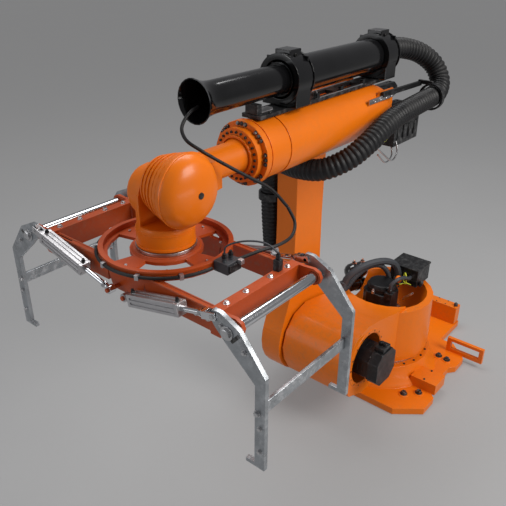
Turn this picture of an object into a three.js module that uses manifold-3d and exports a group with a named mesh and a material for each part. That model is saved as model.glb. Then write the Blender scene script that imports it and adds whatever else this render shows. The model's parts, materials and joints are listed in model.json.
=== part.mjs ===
// Six-axis industrial robot arm with a hose pack and a pneumatic pallet gripper.
// Millimetres, +Z up. The origin is on the floor, on the axis of the slewing column (axis 1).
// +X points along the forearm to the wrist, +Y to the robot's left.
import * as THREE from 'three';
import { mergeVertices } from 'three/addons/utils/BufferGeometryUtils.js';
import Module from 'manifold-3d';

const wasm = await Module();
wasm.setup();

// ---- driving dimensions -------------------------------------------------------------------
const GAP = 0.4;                    // clearance between touching pieces
const A2 = { x: 550, z: 415 };      // shoulder axis, along Y
const LINK = 1350;                  // shoulder to elbow
const A3 = { x: A2.x, z: A2.z + LINK };
const FOREARM = 1200;               // elbow to wrist centre, along X
const ROLL_Z = A3.z - 41;           // forearm roll axis (axis 4)
const WRIST_X = A3.x + FOREARM;     // wrist centre (axes 5 and 6)
const FLANGE_Z = ROLL_Z - 215;      // face of the tool flange

const PLATE_T = 42;                 // base plate
const PEDESTAL_TOP = 160;
const PANEL_X = [-700, -632];       // connector housing behind the base
const COLUMN_BOTTOM = 186;
const COLUMN_RIM = 500;             // upper rim round the axis 1 motor
const COLUMN_R = 290;
const COLUMN_Y = [-204, 200];       // right and left flank of the column
const WELL_X = -10;                 // centre of the well that holds the axis 1 drive

const CB_REAR = { x: -180, z: 385 };  // counterbalance pivot on the column
const CB_PIN = { x: A2.x, z: A2.z + 175 };  // its pin in the link arm
const CB_Y = -278;
const CB_R = 40;
const CB_BODY = 560;                // end of the counterbalance barrel

const LINK_Y = [-340, -216];        // right and left face of the link arm
const LINK_HALF = 118;              // half depth of the link arm along X
const ARM_R = 122;                  // arm housing
const ARM_REAR_X = 372;
const ARM_SEAM_X = 1188;
const ARM_FRONT_X = 1344;
const NECK_R = 60;
const YOKE_R = 128;
const YOKE_SIDE = -18;              // plane between the yoke and the swivel housing
const SWIVEL_R = 103;

const TUBE_Z = ROLL_Z + 242;        // hose pack tubes above the forearm
const TUBE_R = 74;
const GUIDE_R = 58;
const MOUTH_X = 1588;
const RAIL_Z = [ROLL_Z + ARM_R + 1, ROLL_Z + ARM_R + 17];
const HOSE_R = 50;
const COLLAR = { x: 640, y: -408, z: 1236 };  // hose collar on the link arm
const GLAND = { x: -20, y: -356, z: 232 };    // hose gland on the column
const RING = { x: 115, y: 184, z: 1750 };      // hose ring behind the arm

const DISH_R = 234;                 // gripper carrier plate
const DISH_Z = [1478, 1510];
const HUB_TOP = 1496.6;
const CROSS_X = 182;                // cross plates in front of and behind the wrist axis
const BEAM_Y = [398, 438];          // side beams
const BEAM_Z = [1400, 1490];
const BEAM_HALF = 200;
const LUG_X = 194;
const LEG_X = 228;                  // legs in front of and behind the wrist axis
const LEG_T = 16;
const PIVOT = { y: 497, z: 1463 };  // leg pivot shafts, along X
const LEVER = { y: 444, z: 1498 };  // pin between leg and cylinder
const ANCHOR = { y: 40, z: 1400 };  // pin between frame and cylinder
const LEG_FOOT_Z = 1021;
const LEG_IN_Y = 600.5;             // inner face of a closed leg
const SHAFT_R = 19;

// ---- materials ----------------------------------------------------------------------------
function paint(color, roughness, metalness = 0) {
  return new THREE.MeshStandardMaterial({ color, roughness, metalness });
}

const ORANGE = [0xe8730c, 0.38];
const GRIPPER_RED = [0xb8400c, 0.42];
const BLACK_GLOSS = [0x0c0c0d, 0.18];
const BLACK_MATT = [0x17181a, 0.6];
const GREY_DARK = [0x3a3d41, 0.5];
const STEEL = [0x9a9da0, 0.35, 0.9];
const CHROME = [0xd6d8da, 0.12, 1];
const ALLOY = [0xa59f9c, 0.4, 0.8];
const RUBBER = [0x1b1b1c, 0.75];

// ---- geometry helpers ---------------------------------------------------------------------
function solid(geometry) {
  const bare = geometry.clone();
  bare.deleteAttribute('normal');
  bare.deleteAttribute('uv');
  const merged = mergeVertices(bare, 1e-3);
  const vertProperties = Float32Array.from(merged.attributes.position.array);
  const triVerts = Uint32Array.from(merged.index.array);
  return new wasm.Manifold(new wasm.Mesh({ numProp: 3, vertProperties, triVerts }));
}

function surface(manifold) {
  const mesh = manifold.getMesh();
  const g = new THREE.BufferGeometry();
  g.setAttribute('position', new THREE.BufferAttribute(Float32Array.from(mesh.vertProperties), 3));
  g.setIndex(Array.from(mesh.triVerts));
  g.computeVertexNormals();
  return g;
}

function join(...geometries) {
  return surface(geometries.map(solid).reduce((sum, next) => sum.add(next)));
}

function cut(body, ...tools) {
  return surface(tools.map(solid).reduce((rest, tool) => rest.subtract(tool), solid(body)));
}

// axis-aligned block between two values on each axis, given in either order
function block(x0, x1, y0, y1, z0, z1) {
  const g = new THREE.BoxGeometry(Math.abs(x1 - x0), Math.abs(y1 - y0), Math.abs(z1 - z0));
  return g.translate((x0 + x1) / 2, (y0 + y1) / 2, (z0 + z1) / 2);
}

// cylinder along an axis from a to b, centred on the other two coordinates
function rod(axis, radius, a, b, u, v, sides = 24) {
  return turned(axis, [[0, a], [radius, a], [radius, b], [0, b]], u, v, sides);
}

// solid of revolution about an axis; the profile is [radius, position] pairs in rising position
function turned(axis, profile, u, v, sides = 24) {
  const points = profile.map(([r, p]) => new THREE.Vector2(r, p));
  const g = new THREE.LatheGeometry(points, sides);
  if (axis === 'z') return g.rotateX(Math.PI / 2).translate(u, v, 0);
  if (axis === 'x') return g.rotateZ(-Math.PI / 2).translate(0, u, v);
  return g.translate(u, 0, v);
}

// ring between two radii, closed at both ends by flat faces
function sleeve(axis, outer, inner, a, b, u, v, sides = 24) {
  return turned(axis, [[inner, a], [outer, a], [outer, b], [inner, b], [inner, a]], u, v, sides);
}

// flat plate: outline in XY, XZ or YZ, extruded from a to b along the third axis
function plate(plane, points, a, b) {
  const shape = new THREE.Shape(points.map(([u, v]) => new THREE.Vector2(u, v)));
  const g = new THREE.ExtrudeGeometry(shape, { depth: b - a, bevelEnabled: false });
  if (plane === 'xy') return g.translate(0, 0, a);
  if (plane === 'xz') return g.rotateX(Math.PI / 2).translate(0, b, 0);
  return g.applyMatrix4(new THREE.Matrix4().set(0, 0, 1, a, 1, 0, 0, 0, 0, 1, 0, 0, 0, 0, 0, 1));
}

// outline in the YZ plane mirrored to the left (+1) or right (-1) side
function onSide(side, points) {
  const moved = points.map(([y, z]) => [side * y, z]);
  return side > 0 ? moved : moved.reverse();
}

// round section swept along a smooth curve through the points
function tube(points, radius, sides, steps) {
  const nodes = points.map((p) => new THREE.Vector3(...p));
  const path = new THREE.CatmullRomCurve3(nodes, false, 'centripetal');
  const corners = [];
  for (let i = 0; i < sides; i += 1) {
    const angle = (2 * Math.PI * i) / sides;
    corners.push(new THREE.Vector2(radius * Math.cos(angle), radius * Math.sin(angle)));
  }
  const section = new THREE.Shape(corners);
  return new THREE.ExtrudeGeometry(section, { steps, bevelEnabled: false, extrudePath: path });
}

// motor body of square section with broken corners, along an axis from a to b
function motorBody(axis, half, a, b, u, v) {
  const flat = half * 0.52;
  const corners = [];
  for (let turn = 0; turn < 4; turn += 1) {
    const [c, s] = [Math.round(Math.cos(turn * Math.PI / 2)), Math.round(Math.sin(turn * Math.PI / 2))];
    for (const w of [-flat, flat]) corners.push([u + c * half - s * w, v + s * half + c * w]);
  }
  return plate({ x: 'yz', y: 'xz', z: 'xy' }[axis], corners, a, b);
}

const robot = new THREE.Group();

function add(name, geometry, finish) {
  const mesh = new THREE.Mesh(geometry, paint(...finish));
  mesh.name = name;
  robot.add(mesh);
}

// ---- base ---------------------------------------------------------------------------------
// Floor plate with a tongue to the rear, a bell-shaped pedestal, and on each side a raised
// pocket and an upright loop for the forks of a lift truck.
function baseCasting() {
  const half = [[414, 330], [300, 470], [176, 470], [120, 414], [-150, 414], [-190, 446], [-300, 446],
    [-414, 330], [-414, 240], [PANEL_X[0], 240]];
  const other = half.map(([x, y]) => [x, -y]).reverse();
  const floor = plate('xy', [...half, ...other], 0, PLATE_T);
  const bell = turned('z', [[0, 10], [372, 10], [350, 60], [318, 96], [306, PEDESTAL_TOP],
    [0, PEDESTAL_TOP]], 0, 0, 24);
  const parts = [];
  for (const side of [1, -1]) {
    parts.push(block(20, 150, side * 300, side * 462, PLATE_T - 4, 108));
    const loop = block(-342, -318, side * 318, side * 556, PLATE_T - 4, 142);
    parts.push(cut(loop, block(-350, -310, side * 346, side * 530, 66, 120)));
  }
  return cut(join(floor, bell, ...parts), rod('z', 120, 24, PEDESTAL_TOP + 5, 0, 0, 20));
}

// box on the tongue of the base, open to the rear where the cables plug in
function connectorHousing() {
  const [rear, front] = PANEL_X;
  const shell = block(rear, front, -130, 233, PLATE_T + GAP, 172);
  return cut(shell, block(rear - 5, front - 8, -120, 223, PLATE_T + 10, 162));
}

add('base_casting', baseCasting(), ORANGE);
add('connector_housing', connectorHousing(), ORANGE);
add('axis1_bearing', sleeve('z', 262, 150, PEDESTAL_TOP + GAP, COLUMN_BOTTOM - GAP, 0, 0, 24), STEEL);

// ---- slewing column -----------------------------------------------------------------------
// A drum over axis 1 runs forward into the shoulder; both are open at their motors.
function columnHousing() {
  const top = COLUMN_RIM + 30;
  const drum = turned('z', [[0, COLUMN_BOTTOM], [COLUMN_R - 8, COLUMN_BOTTOM],
    [COLUMN_R, COLUMN_BOTTOM + 40], [COLUMN_R - 6, top], [0, top]], 0, 0, 24);
  const flank = [[-60, COLUMN_BOTTOM], [560, COLUMN_BOTTOM], [700, 240], [752, 330], [768, A2.z],
    [740, 510], [668, 588], [A2.x + 10, 618], [430, 596], [240, 548], [-60, top]];
  const nose = plate('xz', flank, ...COLUMN_Y);
  const well = turned('z', [[0, 300], [150, 300], [214, COLUMN_RIM - 80], [250, top + 30],
    [0, top + 30]], WELL_X, 0, 24);
  const barrel = rod('y', 146, -20, COLUMN_Y[1] + 40, A2.x, A2.z, 24);
  const shaftBore = rod('y', 101, COLUMN_Y[0] - 5, 0, A2.x, A2.z, 24);
  const underside = block(300, 640, -150, -30, 150, 330);
  const passage = rod('z', 90, 150, 320, 0, 0, 20);
  const rightFace = block(-330, 330, -330, COLUMN_Y[0], 330, top + 40);
  const trunnion = rod('y', 26, CB_Y + 44, COLUMN_Y[0] + 10, CB_REAR.x, CB_REAR.z, 16);
  const shell = cut(join(drum, nose), well, barrel, shaftBore, underside, passage, rightFace);
  return join(shell, trunnion);
}

function axis1Motor() {
  const body = motorBody('z', 92, 372, 560, 60, 0);
  const cap = turned('z', [[0, 558], [84, 558], [84, 590], [74, 606], [0, 606]], 60, 0, 20);
  const plug = block(-62, -20, -26, 26, 470, 530);
  return join(body, cap, plug);
}

function axis2Motor() {
  const flange = rod('y', 118, 82, 98, A2.x, A2.z, 24);
  return join(flange, motorBody('y', 92, 96, 262, A2.x, A2.z), motorBody('y', 99, 260, 322, A2.x, A2.z));
}

// gear unit in the shoulder with its output drum, which carries the link arm
function axis2Gearbox() {
  const out = LINK_Y[1] + GAP;
  return turned('y', [[0, out], [100, out], [100, -19.6], [138, -19.6], [138, 40], [104, 81], [0, 81]],
    A2.x, A2.z, 24);
}

function junctionBox() {
  return cut(block(-282, -118, -42, 142, 532, 640), block(-268, -132, -28, 128, 520, 626));
}

// closed cup that the lower end of the hose sits in, with a foot on the column
function hoseGland() {
  const { x, y, z } = GLAND;
  const cup = turned('x', [[0, x], [HOSE_R + 14, x], [HOSE_R + 14, x + 72], [HOSE_R + 4, x + 72],
    [HOSE_R + 4, x + 20], [0, x + 20]], y, z, 20);
  return join(cup, block(x + 10, x + 60, y + HOSE_R + 5, -COLUMN_R - 1, z - 20, z + 20));
}

const CONDUIT = [[-92, 30, 545], [-88, 30, 600], [-70, 10, 668], [-10, -20, 706], [70, -66, 712],
  [150, -112, 690], [212, -150, 640], [236, -162, 572]];

add('column_housing', columnHousing(), ORANGE);
add('axis1_motor', axis1Motor(), BLACK_GLOSS);
add('axis1_gearbox', turned('z', [[0, 300.4], [140, 300.4], [140, 350], [120, 371.5], [0, 371.5]],
  WELL_X, 0, 24), STEEL);
add('axis2_motor', axis2Motor(), BLACK_MATT);
add('axis2_gearbox', axis2Gearbox(), STEEL);
add('junction_box', junctionBox(), BLACK_MATT);
add('conduit', tube(CONDUIT, 21, 8, 18), GREY_DARK);
add('hose_gland', hoseGland(), BLACK_MATT);

// ---- counterbalance -----------------------------------------------------------------------
const CB_ANGLE = Math.atan2(CB_PIN.z - CB_REAR.z, CB_PIN.x - CB_REAR.x);
const CB_LENGTH = Math.hypot(CB_PIN.z - CB_REAR.z, CB_PIN.x - CB_REAR.x);

// pieces are drawn along +X from the rear pivot and then tilted into place
function onCounterbalance(geometry) {
  return geometry.rotateY(-CB_ANGLE).translate(CB_REAR.x, CB_Y, CB_REAR.z);
}

function counterbalanceCylinder() {
  const eye = rod('y', 44, -38, 38, 0, 0, 20);
  const barrel = rod('x', CB_R, 20, CB_BODY, 0, 0, 24);
  const manifold = block(10, 200, -28, 28, 20, 46);
  const bore = rod('x', 21, 70, CB_BODY + 10, 0, 0, 16);
  return onCounterbalance(cut(join(eye, barrel, manifold), bore));
}

function counterbalanceRod() {
  const shaft = rod('x', 19, 200, CB_LENGTH - 26, 0, 0, 16);
  const eye = rod('y', 34, -30, 30, CB_LENGTH, 0, 20);
  return onCounterbalance(cut(join(shaft, eye), rod('y', 16, -40, 40, CB_LENGTH, 0, 16)));
}

// gas accumulator: a sphere on a short neck, with its filling valve on top
function accumulator(x) {
  const [centre, radius] = [101, 53];
  const profile = [[0, 46.4], [20, 46.4]];
  for (let step = 1; step <= 6; step += 1) {
    const angle = -1.2 + step * 0.4;
    profile.push([radius * Math.cos(angle), centre + radius * Math.sin(angle)]);
  }
  return onCounterbalance(turned('z', [...profile, [12, 153], [12, 166], [0, 166]], x, 0, 14));
}

add('counterbalance_cylinder', counterbalanceCylinder(), BLACK_GLOSS);
add('counterbalance_rod', counterbalanceRod(), CHROME);
add('accumulator_rear', accumulator(40), BLACK_GLOSS);
add('accumulator_front', accumulator(151), BLACK_GLOSS);

// ---- link arm -----------------------------------------------------------------------------
// Hollow box section between two hubs; a slot between two cheeks takes the counterbalance.
function linkArm() {
  const [y0, y1] = LINK_Y;
  const lower = rod('y', 236, y0, y1, A2.x, A2.z, 24);
  const upper = rod('y', 176, y0, y1, A3.x, A3.z, 24);
  const front = [[A2.x + 222, A2.z + 80], [A2.x + LINK_HALF + 8, A2.z + 330],
    [A2.x + LINK_HALF, A2.z + 700], [A3.x + LINK_HALF + 6, A3.z - 200], [A3.x + 160, A3.z - 60]];
  const rear = front.map(([x, z]) => [2 * A2.x - x, z]).reverse();
  const web = plate('xz', [...front, ...rear], y0, y1);
  const core = plate('xz', [[A2.x - 98, A2.z + 420], [A2.x + 98, A2.z + 420], [A3.x + 98, A3.z - 200],
    [A3.x - 98, A3.z - 200]], y0 + 14, y1 - 14);
  const window = rod('y', 42, y0 - 10, y0 + 40, A2.x, A2.z + 660, 16);
  const slot = plate('xz', [[CB_PIN.x + 72, CB_PIN.z - 20], [CB_PIN.x + 60, CB_PIN.z + 62], [195, 840],
    [150, 223], [341, 223]], CB_Y - 46, CB_Y + 46);
  return cut(join(lower, upper, web), core, window, slot);
}

function hoseCollar() {
  const { x, y, z } = COLLAR;
  const ring = rod('z', HOSE_R + 14, z - 20, z + 20, x, y, 20);
  const foot = block(x - 40, x + 20, y + 20, LINK_Y[0] - GAP, z - 18, z + 18);
  return cut(join(ring, foot), rod('z', HOSE_R + 4, z - 30, z + 30, x, y, 20));
}

const HOSE_LOWER = [[640, -408, 1235], [640, -408, 1190], [634, -408, 1100], [622, -408, 980], [606, -407, 840],
  [570, -406, 700], [510, -405, 560], [425, -403, 430], [310, -396, 324], [200, -374, 258],
  [110, -357, 234], [60, -356, 232], [30, -356, 232], [2, -356, 232]];

add('link_arm', linkArm(), ORANGE);
add('hose_collar', hoseCollar(), BLACK_MATT);
add('hose_lower', tube(HOSE_LOWER, HOSE_R, 8, 18), RUBBER);

// ---- arm ----------------------------------------------------------------------------------
// Tapered shell round the roll axis, open at the front, with the elbow boss on its right.
function armHousing() {
  const outer = turned('x', [[0, ARM_REAR_X], [96, ARM_REAR_X], [114, 424], [ARM_R, 520],
    [ARM_R, ARM_SEAM_X], [0, ARM_SEAM_X]], 0, ROLL_Z, 24);
  const inner = turned('x', [[0, 404], [84, 404], [102, 440], [110, 530], [110, ARM_SEAM_X + 5],
    [0, ARM_SEAM_X + 5]], 0, ROLL_Z, 24);
  const boss = turned('y', [[0, LINK_Y[1] + GAP], [164, LINK_Y[1] + GAP], [164, -110], [132, -70],
    [0, -70]], A3.x, A3.z, 24);
  const recess = rod('y', 132, LINK_Y[1] - 4, -130, A3.x, A3.z, 24);
  return cut(join(cut(outer, inner), cut(boss, inner)), recess);
}

function armFrontTube() {
  const seam = ARM_SEAM_X + GAP;
  return turned('x', [[92, seam], [120, seam], [120, 1308], [127, 1316], [127, ARM_FRONT_X],
    [92, ARM_FRONT_X], [92, seam]], 0, ROLL_Z, 24);
}

function axis3Gearbox() {
  const out = LINK_Y[1] + GAP;
  return turned('y', [[0, out], [96, out], [129, -200], [129, -130.4], [0, -130.4]], A3.x, A3.z, 24);
}

function tubeRail() {
  const slots = [560, 760].map((x) => block(x, x + 140, -24, 24, RAIL_Z[0] - 5, RAIL_Z[1] + 5));
  return cut(block(352, 1290, -46, 46, ...RAIL_Z), ...slots);
}

// split clamp round the retraction tube, on a foot, with a bolted block on top
function tubeClamp(x) {
  const ring = rod('x', TUBE_R + 20, x - 48, x + 48, 0, TUBE_Z, 24);
  const foot = block(x - 48, x + 48, -84, 84, RAIL_Z[1] + GAP, TUBE_Z - 24);
  const head = block(x - 40, x + 34, -36, 36, TUBE_Z + 70, TUBE_Z + 110);
  const bore = rod('x', TUBE_R + GAP, x - 60, x + 60, 0, TUBE_Z, 24);
  return cut(join(ring, foot, head), bore, block(x - 60, x + 60, -90, 90, RAIL_Z[0], RAIL_Z[1] + GAP));
}

function retractionTube() {
  const [inner, seal] = [TUBE_R - 6, GUIDE_R + GAP];
  return turned('x', [[inner, ARM_REAR_X], [TUBE_R, ARM_REAR_X], [TUBE_R, 1098], [TUBE_R - 8, 1126],
    [seal, 1126], [seal, 1112], [inner, 1092], [inner, ARM_REAR_X]], 0, TUBE_Z, 24);
}

// sliding tube that flares into a trumpet mouth
function guideTube() {
  const bore = GUIDE_R - 4;
  return turned('x', [[bore, 1076], [GUIDE_R, 1076], [GUIDE_R, 1500], [GUIDE_R + 3, 1536],
    [GUIDE_R + 10, 1566], [79, MOUTH_X], [75, MOUTH_X + 1], [GUIDE_R + 5, 1566],
    [GUIDE_R - 2, 1536], [bore, 1500], [bore, 1076]], 0, TUBE_Z, 24);
}

function hoseRing() {
  const { x, y, z } = RING;
  const ring = sleeve('x', HOSE_R + 15, HOSE_R + 6, x, x + 24, y, z, 24);
  const stay = plate('xz', [[x + 4, 1796], [x + 32, 1796], [300, 1800], [500, 1804], [500, 1826],
    [300, 1822], [x + 4, 1818]], 108, 122);
  return join(ring, stay, block(x + 4, x + 20, 108, y, z + 56, z + 74));
}

function rearBox() {
  return join(block(110, 356, -40, 124, 1534, 1652), block(350, 470, -30, 30, 1588, 1604));
}

const HOSE_UPPER = [[470, 0, 1966], [400, 0, 1966], [320, 0, 1970], [230, 4, 1974], [140, 20, 1964],
  [50, 62, 1934], [-8, 114, 1876], [-4, 158, 1808], [50, 180, 1764], [127, 184, 1750],
  [190, 184, 1746], [310, 184, 1738], [450, 184, 1726], [600, 190, 1700], [710, 184, 1655],
  [800, 142, 1594], [868, 56, 1544], [868, -60, 1522], [830, -170, 1508], [786, -280, 1494],
  [752, -368, 1462], [694, -402, 1404], [650, -408, 1330], [640, -408, 1280], [640, -408, 1237]];

add('arm_housing', armHousing(), ORANGE);
add('arm_front_tube', armFrontTube(), ORANGE);
add('axis3_gearbox', axis3Gearbox(), STEEL);
for (const [axis, y, z] of [[4, 0, 54], [5, 52, -30], [6, -52, -30]]) {
  add(`axis${axis}_motor`, motorBody('x', 36, 204, ARM_REAR_X - GAP, y, ROLL_Z + z), BLACK_MATT);
}
add('rear_box', rearBox(), GREY_DARK);
add('tube_rail', tubeRail(), BLACK_MATT);
add('tube_clamp_front', tubeClamp(1072), BLACK_MATT);
add('tube_clamp_rear', tubeClamp(385), BLACK_MATT);
add('retraction_tube', retractionTube(), BLACK_GLOSS);
add('guide_tube', guideTube(), BLACK_GLOSS);
add('hose_ring', hoseRing(), BLACK_MATT);
add('hose_upper', tube(HOSE_UPPER, HOSE_R, 8, 32), RUBBER);

// ---- wrist --------------------------------------------------------------------------------
// The yoke turns on the roll axis and carries the swivel housing on its right-hand side.
function wristYoke() {
  const flange = rod('x', 105, ARM_FRONT_X + GAP, 1374, 0, ROLL_Z, 24);
  const neck = turned('x', [[0, 1370], [72, 1370], [NECK_R, 1396], [NECK_R, 1608], [0, 1608]],
    0, ROLL_Z, 24);
  const drum = turned('y', [[0, YOKE_SIDE], [82, YOKE_SIDE], [90, -10], [98, 16], [110, 52], [122, 86],
    [YOKE_R, 110], [YOKE_R - 3, 128], [YOKE_R - 16, 146], [98, 160], [60, 174], [0, 180]], WRIST_X, ROLL_Z, 24);
  const cheek = plate('xz', [[1560, ROLL_Z - 50], [1700, ROLL_Z - 66], [1700, ROLL_Z + 66],
    [1560, ROLL_Z + 50]], YOKE_SIDE, 96);
  return join(flange, neck, drum, cheek);
}

function swivelHousing() {
  const side = YOKE_SIDE - GAP;
  const boss = turned('y', [[0, -98], [62, -98], [82, -90], [92, -72], [94, side], [0, side]],
    WRIST_X, ROLL_Z - 36, 24);
  const foot = FLANGE_Z + GAP;
  const barrel = turned('z', [[0, foot], [SWIVEL_R - 3, foot], [SWIVEL_R, 1520], [SWIVEL_R, 1576],
    [SWIVEL_R - 8, 1590], [0, 1590]], WRIST_X, 0, 24);
  const bridge = rod('z', SWIVEL_R - 5, 1560, 1700, WRIST_X, 0, 24);
  return join(boss, barrel, cut(bridge, block(1600, 1900, side, 200, 1589, 1720)));
}

const CABLE = [
  [[1570, 0, 1946], [1604, 0, 1936], [1638, 2, 1914], [1664, 14, 1890], [1674, 44, 1862],
    [1650, 86, 1830], [1596, 130, 1783]],
  [[1594.7, 131.1, 1782], [1524, 174, 1728], [1435, 216, 1662], [1385, 252, 1590]],
  [[1383.4, 253.3, 1587], [1380, 284, 1536], [1430, 312, 1512], [1522, 326, 1513],
    [1606, 300, 1510], [1660, 280, 1503], [1690, 270, 1500]],
];
const CABLE_R = 6;

add('wrist_yoke', wristYoke(), ORANGE);
add('swivel_housing', swivelHousing(), ORANGE);
CABLE.forEach((points, i) => add(`tool_cable_${i + 1}`, tube(points, CABLE_R, 8, 10), RUBBER));

// ---- gripper carrier ----------------------------------------------------------------------
// quarter ring between two radii and two angles, used as a window in the carrier plate
function sector(inner, outer, from, to) {
  const points = [];
  for (let step = 0; step <= 4; step += 1) points.push([outer, from + ((to - from) * step) / 4]);
  for (let step = 4; step >= 0; step -= 1) points.push([inner, from + ((to - from) * step) / 4]);
  return points.map(([r, angle]) => [WRIST_X + r * Math.cos(angle), r * Math.sin(angle)]);
}

// Shallow round dish with a hub, four windows, two cross plates and the cylinder brackets.
function carrierPlate() {
  const [bottom, top] = DISH_Z;
  const parts = [rod('z', DISH_R, bottom, bottom + 12, WRIST_X, 0, 32),
    sleeve('z', DISH_R, DISH_R - 14, bottom, top, WRIST_X, 0, 32), rod('z', 118, bottom, HUB_TOP, WRIST_X, 0, 24)];
  for (const end of [1, -1]) {
    const x = WRIST_X + end * CROSS_X;
    parts.push(plate('yz', [[-74, ANCHOR.z - 20], [74, ANCHOR.z - 20], [104, bottom + 2],
      [-104, bottom + 2]], x - 8, x + 8));
    for (const side of [1, -1]) {
      parts.push(block(x - 8, x + 8, side * 96, side * (BEAM_Y[0] - GAP), BEAM_Z[0], bottom + 2));
      const pin = [x, WRIST_X + end * (LEG_X + 18)].sort((a, b) => a - b);
      parts.push(rod('x', 8, ...pin, side * ANCHOR.y, ANCHOR.z, 12));
    }
  }
  const windows = [0, 1, 2, 3].map((quarter) => {
    const from = (quarter * Math.PI) / 2 + 0.24;
    return plate('xy', sector(130, 206, from, from + 1.09), bottom - 5, bottom + 20);
  });
  const bore = rod('z', 46, bottom - 5, HUB_TOP + 5, WRIST_X, 0, 20);
  return cut(join(...parts), bore, ...windows);
}

// side beam of channel section with a curved lug at each end that holds the pivot shaft
function sideFrame(side) {
  const [near, far] = BEAM_Y;
  const [low, high] = BEAM_Z;
  const lug = onSide(side, [[near, high], [near, low], [PIVOT.y - 62, low], [PIVOT.y - 20, PIVOT.z - 26],
    [PIVOT.y + 4, PIVOT.z - 29], [PIVOT.y + 24, PIVOT.z - 18], [PIVOT.y + 30, PIVOT.z + 2],
    [PIVOT.y + 22, PIVOT.z + 21], [PIVOT.y, PIVOT.z + 30], [PIVOT.y - 40, high]]);
  const beam = block(WRIST_X - BEAM_HALF, WRIST_X + BEAM_HALF, side * near, side * far, low, high);
  const channel = block(WRIST_X - BEAM_HALF + 20, WRIST_X + BEAM_HALF - 20, side * (near + 8),
    side * (far - 8), low - 5, high - 10);
  const lugs = [1, -1].map((end) => {
    const x = WRIST_X + end * LUG_X;
    return plate('yz', lug, x - 7, x + 7);
  });
  const bore = rod('x', SHAFT_R + 1, WRIST_X - 260, WRIST_X + 260, side * PIVOT.y, PIVOT.z, 20);
  return cut(join(cut(beam, channel), ...lugs), bore);
}

function valveBlock() {
  const ports = [1712, 1744].map((x) => rod('z', 8, 1517, 1530, x, DISH_R + 34, 12));
  return join(block(1694, 1762, DISH_R + 3, DISH_R + 64, 1480, 1518), ...ports);
}

function rimCable() {
  const points = [];
  for (let degrees = 84; degrees >= -112; degrees -= 14) {
    const angle = (degrees * Math.PI) / 180;
    points.push([WRIST_X + (DISH_R + 9) * Math.cos(angle), (DISH_R + 9) * Math.sin(angle), 1494]);
  }
  return tube(points, CABLE_R, 8, 26);
}

add('tool_flange', sleeve('z', 108, 40, HUB_TOP + GAP, FLANGE_Z, WRIST_X, 0, 24), CHROME);
add('carrier_plate', carrierPlate(), GRIPPER_RED);
add('side_frame_left', sideFrame(1), GRIPPER_RED);
add('side_frame_right', sideFrame(-1), GRIPPER_RED);
add('valve_block', valveBlock(), GREY_DARK);
add('rim_cable', rimCable(), RUBBER);

// ---- clamp legs ---------------------------------------------------------------------------
const SHAFT_END = LEG_X - LEG_T / 2 - GAP;

// bent bar from the cylinder lever over the pivot down to a claw that hooks under the boards
function clampLeg(side, end) {
  const outer = LEG_IN_Y + 38;
  const bar = onSide(side, [[LEVER.y - 16, LEVER.z - 6], [LEVER.y + 6, LEVER.z - 34], [489, 1426],
    [LEG_IN_Y, 1330], [LEG_IN_Y, LEG_FOOT_Z + 14], [LEG_IN_Y - 34, LEG_FOOT_Z + 14],
    [LEG_IN_Y - 34, LEG_FOOT_Z], [outer, LEG_FOOT_Z], [outer, 1366], [541, 1487],
    [LEVER.y + 26, LEVER.z + 22], [LEVER.y - 4, LEVER.z + 22]]);
  const x = WRIST_X + end * LEG_X;
  const pinHole = rod('x', 14, x - 20, x + 20, side * LEVER.y, LEVER.z, 14);
  return cut(plate('yz', bar, x - LEG_T / 2, x + LEG_T / 2), pinHole);
}

function crossBar(side) {
  return block(WRIST_X - SHAFT_END, WRIST_X + SHAFT_END, side * (LEG_IN_Y + 4), side * (LEG_IN_Y + 16),
    1212, 1254);
}

function pivotShaft(side) {
  return rod('x', SHAFT_R, WRIST_X - SHAFT_END, WRIST_X + SHAFT_END, side * PIVOT.y, PIVOT.z, 20);
}

// ---- pneumatic cylinders ------------------------------------------------------------------
// Drawn along +Y from the pin on the frame to the pin in the leg, then tilted into place. The
// left pair is pinned to the frame at the body, the right pair at the rod.
const REACH = Math.hypot(LEVER.y - ANCHOR.y, LEVER.z - ANCHOR.z);
const TILT = Math.atan2(LEVER.z - ANCHOR.z, LEVER.y - ANCHOR.y);
const BODY_HALF = 22;
const ROD_R = 9;

function placeActuator(geometry, side, end) {
  geometry.rotateX(TILT).translate(WRIST_X + end * LEG_X, ANCHOR.y, ANCHOR.z);
  return side > 0 ? geometry : geometry.rotateZ(Math.PI).translate(2 * (WRIST_X + end * LEG_X), 0, 0);
}

function frameEnd(neck) {
  const eye = join(rod('x', 15, -12, 12, 0, 0, 16), neck);
  return cut(eye, rod('x', 8.5, -30, 30, 0, 0, 14));
}

function legFork() {
  const cheeks = [-15, 9].map((x) => block(x, x + 6, REACH - 34, REACH + 13, -13, 13));
  const bridge = block(-15, 15, REACH - 46, REACH - 30, -13, 13);
  return join(...cheeks, bridge, rod('x', 7, -15, 15, REACH, 0, 12));
}

function barrelWithBore(from, to, openEnd) {
  const body = block(-BODY_HALF, BODY_HALF, from, to, -BODY_HALF, BODY_HALF);
  const bore = openEnd > 0 ? [from + 20, to + 5] : [from - 5, to - 20];
  return cut(body, rod('y', ROD_R + 0.6, ...bore, 0, 0, 12));
}

const CYLINDER_AT_FRAME = () => join(frameEnd(block(-10, 10, 12, 36, -12, 12)), barrelWithBore(32, 276, 1));
const ROD_TO_LEG = () => join(rod('y', ROD_R, 80, REACH - 40, 0, 0, 12), legFork());
const ROD_AT_FRAME = () => frameEnd(rod('y', ROD_R, 10, REACH - 110, 0, 0, 12));
const CYLINDER_TO_LEG = () => join(barrelWithBore(134, REACH - 44, -1), legFork());

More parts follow.
